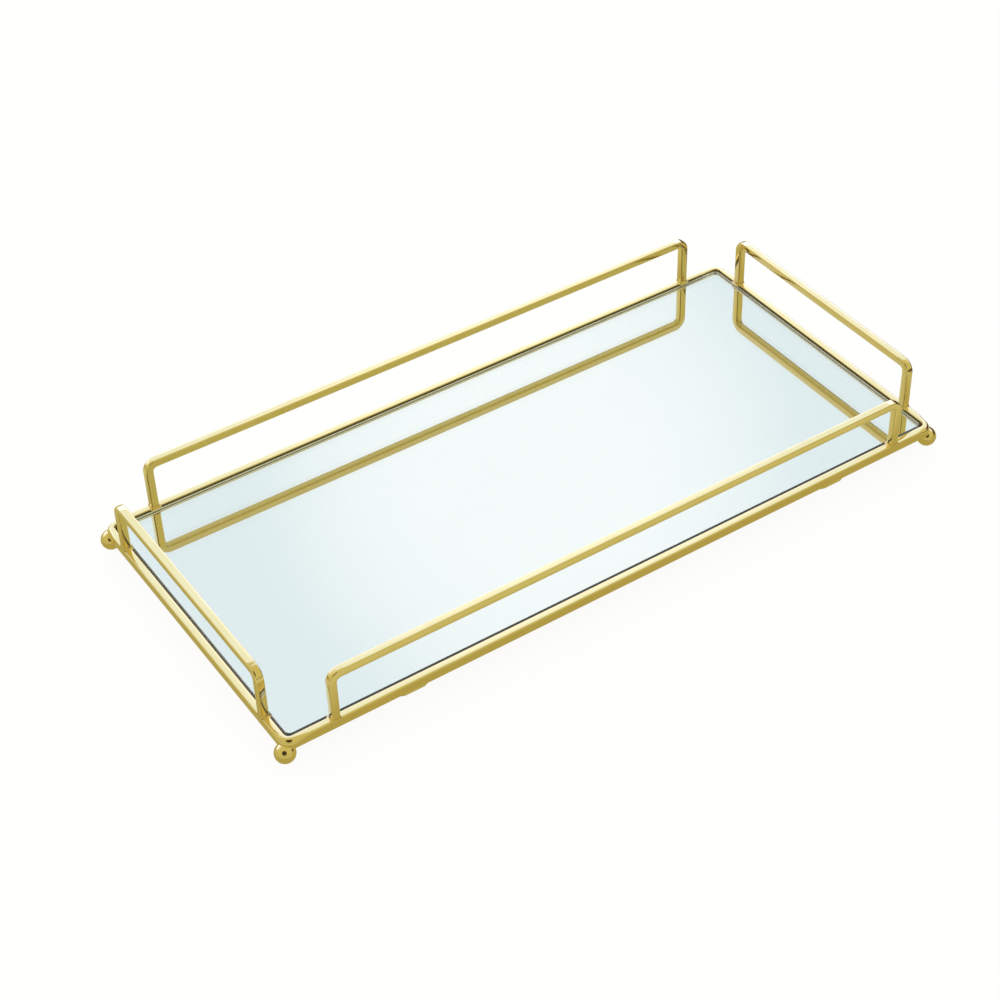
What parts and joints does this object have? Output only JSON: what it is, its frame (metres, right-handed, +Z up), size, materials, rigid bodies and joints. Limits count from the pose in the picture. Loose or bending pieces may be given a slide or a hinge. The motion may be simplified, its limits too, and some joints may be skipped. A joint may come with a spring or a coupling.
{
  "type": "mirrored vanity tray",
  "caption": "Rectangular mirror tray for a dresser: a low gold frame of flat bar, an open square-bar rail on each side, ball feet under the corners.",
  "frame": {"origin": "on the table, under the middle of the tray", "axes": "+X along the long side to the right, +Y to the rear, +Z up"},
  "size_m": [0.4068, 0.1916, 0.0437],
  "materials": {
    "gold_plate": "polished gold plating",
    "braze": "plated braze, slightly duller than the bar",
    "float_glass": "clear, ground edges",
    "silvering": "silvered, with painted back",
    "hardboard": "smooth hardboard",
    "foam_tape": "double-sided tape"
  },
  "bodies": {
    "root": {"adhesive_pads": "foam_tape", "backing_board": "hardboard", "ball_foot_front_left": "gold_plate", "ball_foot_front_right": "gold_plate", "ball_foot_rear_left": "gold_plate", "ball_foot_rear_right": "gold_plate", "base_frame": "gold_plate", "frame_joint_weld": "braze", "front_rail": "gold_plate", "front_rail_braze": "braze", "left_rail": "gold_plate", "left_rail_braze": "braze", "mirror_glass": "float_glass", "mirror_silvering": "silvering", "rear_rail": "gold_plate", "rear_rail_braze": "braze", "right_rail": "gold_plate", "right_rail_braze": "braze", "support_tab_front_left": "gold_plate", "support_tab_front_right": "gold_plate", "support_tab_rear_left": "gold_plate", "support_tab_rear_right": "gold_plate"}
  },
  "joints": []
}
